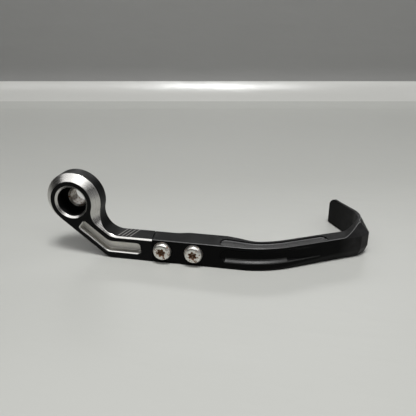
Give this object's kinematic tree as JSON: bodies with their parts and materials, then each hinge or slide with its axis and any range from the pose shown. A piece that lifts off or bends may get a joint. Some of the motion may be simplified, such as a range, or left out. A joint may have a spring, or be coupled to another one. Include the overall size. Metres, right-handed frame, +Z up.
{
  "type": "brake lever guard",
  "caption": "Bar-end guard for a motorbike brake lever: a bevelled eye with a bush and an arm that carry a bent moulded blade round the end of the lever.",
  "frame": {"origin": "on the axis of the bar-end bore, on the rear face of the bush that seats against the bar end", "axes": "+X forward along the arm, +Y inboard along the handlebar and the bore, +Z up"},
  "size_m": [0.164, 0.0748, 0.0437],
  "materials": {
    "arm": "black anodised, with milled bevels and slot left bright",
    "bush": "turned, lightly tarnished",
    "blade": "moulded, satin matte",
    "screw": "bright, with rust in the drive"
  },
  "bodies": {
    "root": {"mount_arm": "arm", "bar_end_bush": "bush", "guard_blade": "blade", "screw_near_eye": "screw", "screw_near_bend": "screw"}
  },
  "joints": []
}
